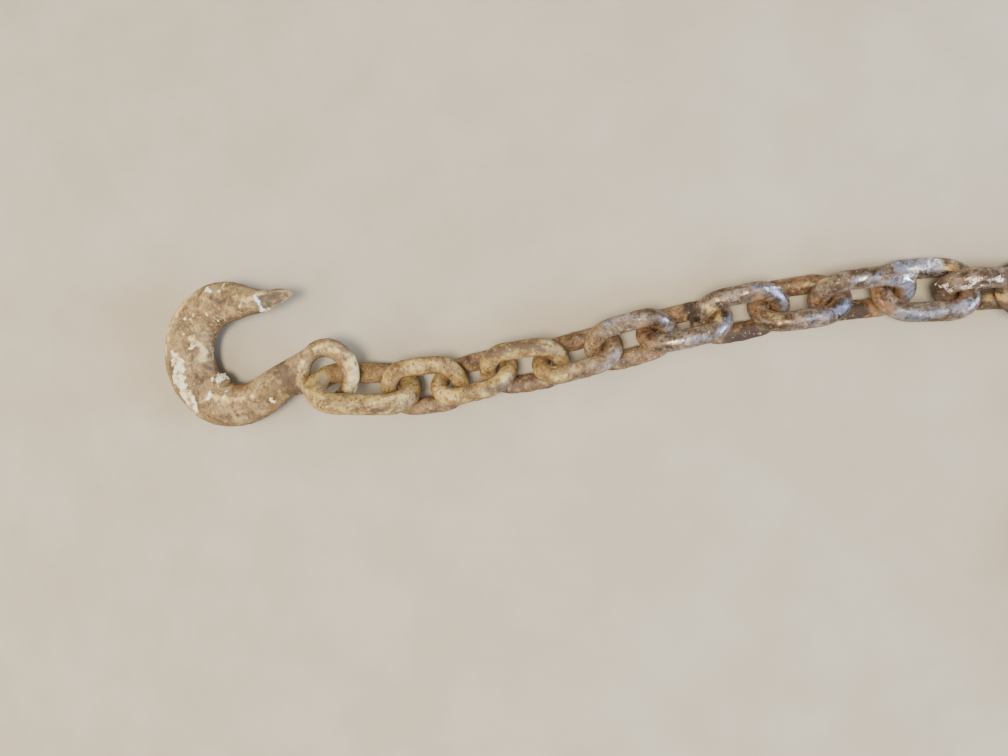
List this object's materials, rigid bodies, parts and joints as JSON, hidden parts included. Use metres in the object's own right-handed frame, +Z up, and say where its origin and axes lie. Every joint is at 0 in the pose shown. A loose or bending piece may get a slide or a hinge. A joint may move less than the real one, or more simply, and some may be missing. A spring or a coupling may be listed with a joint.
{
  "type": "steel tow chain with slip hook",
  "caption": "Rusty welded short-link steel chain led by a forged eye slip hook, lying loose on the floor with its far end in a flat coil.",
  "frame": {"origin": "on the floor, under the middle of the bounding box of the hook and chain as they lie", "axes": "+X along the run of the chain from the hook towards the coil, +Z up, +Y completes the right-handed frame; the hook's point is on the +Y side"},
  "size_m": [0.7638, 0.2506, 0.043],
  "materials": {
    "forged_hook": "rusted forging with dust and pale paint specks",
    "chain_steel": "rusted and worn wire, polished on the high bars"
  },
  "bodies": {
    "root": {"slip_hook": "forged_hook", "coupling_link": "chain_steel", "link_01": "chain_steel", "link_02": "chain_steel", "link_03": "chain_steel", "link_04": "chain_steel", "link_05": "chain_steel", "link_06": "chain_steel", "link_07": "chain_steel", "link_08": "chain_steel", "link_09": "chain_steel", "link_10": "chain_steel", "link_11": "chain_steel", "link_12": "chain_steel", "link_13": "chain_steel", "link_14": "chain_steel", "link_15": "chain_steel", "link_16": "chain_steel", "link_17": "chain_steel", "link_18": "chain_steel", "link_19": "chain_steel", "link_20": "chain_steel", "link_21": "chain_steel", "link_22": "chain_steel", "link_23": "chain_steel", "link_24": "chain_steel", "link_25": "chain_steel", "link_26": "chain_steel", "link_27": "chain_steel", "link_28": "chain_steel", "link_29": "chain_steel", "link_30": "chain_steel", "link_31": "chain_steel", "link_32": "chain_steel", "link_33": "chain_steel", "link_34": "chain_steel", "link_35": "chain_steel", "link_36": "chain_steel", "link_37": "chain_steel", "link_38": "chain_steel", "link_39": "chain_steel", "link_40": "chain_steel", "link_41": "chain_steel", "link_42": "chain_steel", "link_43": "chain_steel", "link_44": "chain_steel"}
  },
  "joints": []
}
